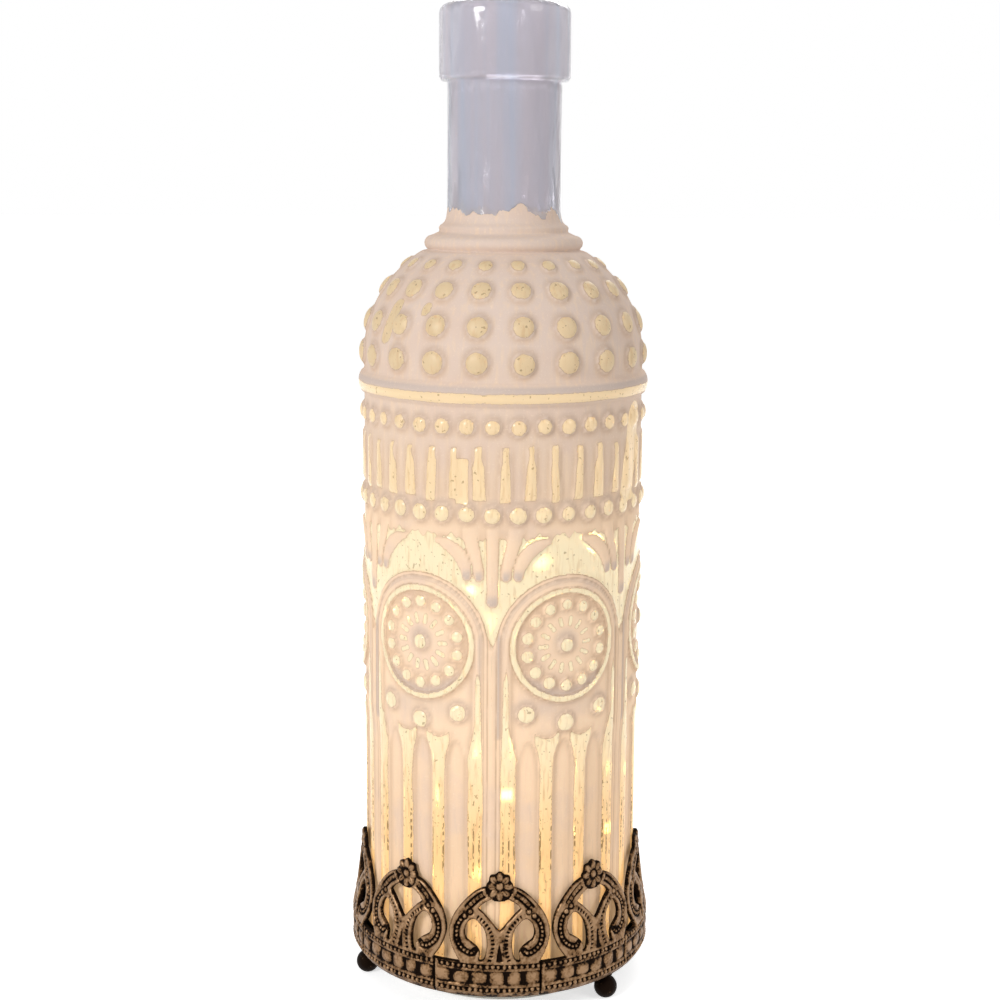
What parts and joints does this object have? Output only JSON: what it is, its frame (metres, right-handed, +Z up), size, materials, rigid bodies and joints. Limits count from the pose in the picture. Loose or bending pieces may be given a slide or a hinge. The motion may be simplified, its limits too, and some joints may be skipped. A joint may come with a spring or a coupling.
{
  "type": "led bottle lantern",
  "caption": "Embossed glass bottle lantern in a filigree bronze stand with ball feet, lit inside by a string of small LEDs from a battery base with sliding door and switch.",
  "frame": {"origin": "on the bottle's axis, on the surface that the ball feet stand on", "axes": "+Z up along the bottle's axis, -Y towards the front that the picture shows, +X to its right"},
  "size_m": [0.1002, 0.1002, 0.3175],
  "materials": {
    "washed_glass": "pressed clear glass, washed milky white and wiped clear on the raised ornament",
    "antique_bronze": "cast, blackened in the hollows and rubbed to copper on the beads",
    "bronzed_sheet": "dark bronzed sheet",
    "white_plastic": "fine matte",
    "lid_plastic": "fine matte",
    "black_plastic": "matte",
    "plated_steel": "nickel plated",
    "cell_jacket": "plain shrink film",
    "board_laminate": "solder mask",
    "copper_wire": "lacquered copper",
    "led_resin": "clear resin drop over a warm white chip"
  },
  "bodies": {
    "root": {"glass_bottle": "washed_glass", "crown_unit_1": "antique_bronze", "crown_unit_2": "antique_bronze", "crown_unit_3": "antique_bronze", "crown_unit_4": "antique_bronze", "crown_unit_5": "antique_bronze", "crown_unit_6": "antique_bronze", "crown_unit_7": "antique_bronze", "crown_unit_8": "antique_bronze", "crown_unit_9": "antique_bronze", "stand_pan": "bronzed_sheet", "ball_foot_1": "antique_bronze", "ball_foot_2": "antique_bronze", "ball_foot_3": "antique_bronze", "battery_housing": "white_plastic", "housing_lid": "lid_plastic", "aaa_cell_1": "cell_jacket", "aaa_cell_2": "cell_jacket", "contact_spring_1": "plated_steel", "contact_spring_2": "plated_steel", "bridge_plate": "plated_steel", "positive_plate": "plated_steel", "negative_plate": "plated_steel", "circuit_board": "board_laminate", "switch_body": "plated_steel", "wire_grommet": "black_plastic", "light_wire": "copper_wire", "led_bead_1": "led_resin", "led_bead_2": "led_resin", "led_bead_3": "led_resin", "led_bead_4": "led_resin", "led_bead_5": "led_resin", "led_bead_6": "led_resin", "led_bead_7": "led_resin", "led_bead_8": "led_resin", "led_bead_9": "led_resin", "led_bead_10": "led_resin", "led_bead_11": "led_resin", "led_bead_12": "led_resin", "led_bead_13": "led_resin", "housing_screw_1": "plated_steel", "housing_screw_2": "plated_steel", "housing_screw_3": "plated_steel"},
    "door": {"battery_door": "white_plastic"},
    "switch_slider": {"switch_knob": "black_plastic"}
  },
  "joints": [
    {"name": "door_slide", "type": "slide", "parent": "root", "child": "door", "axis": [1, 0, 0], "range_m": [0, 0.055]},
    {"name": "switch_slide", "type": "slide", "parent": "root", "child": "switch_slider", "axis": [-1, 0, 0], "range_m": [0, 0.0025]}
  ]
}
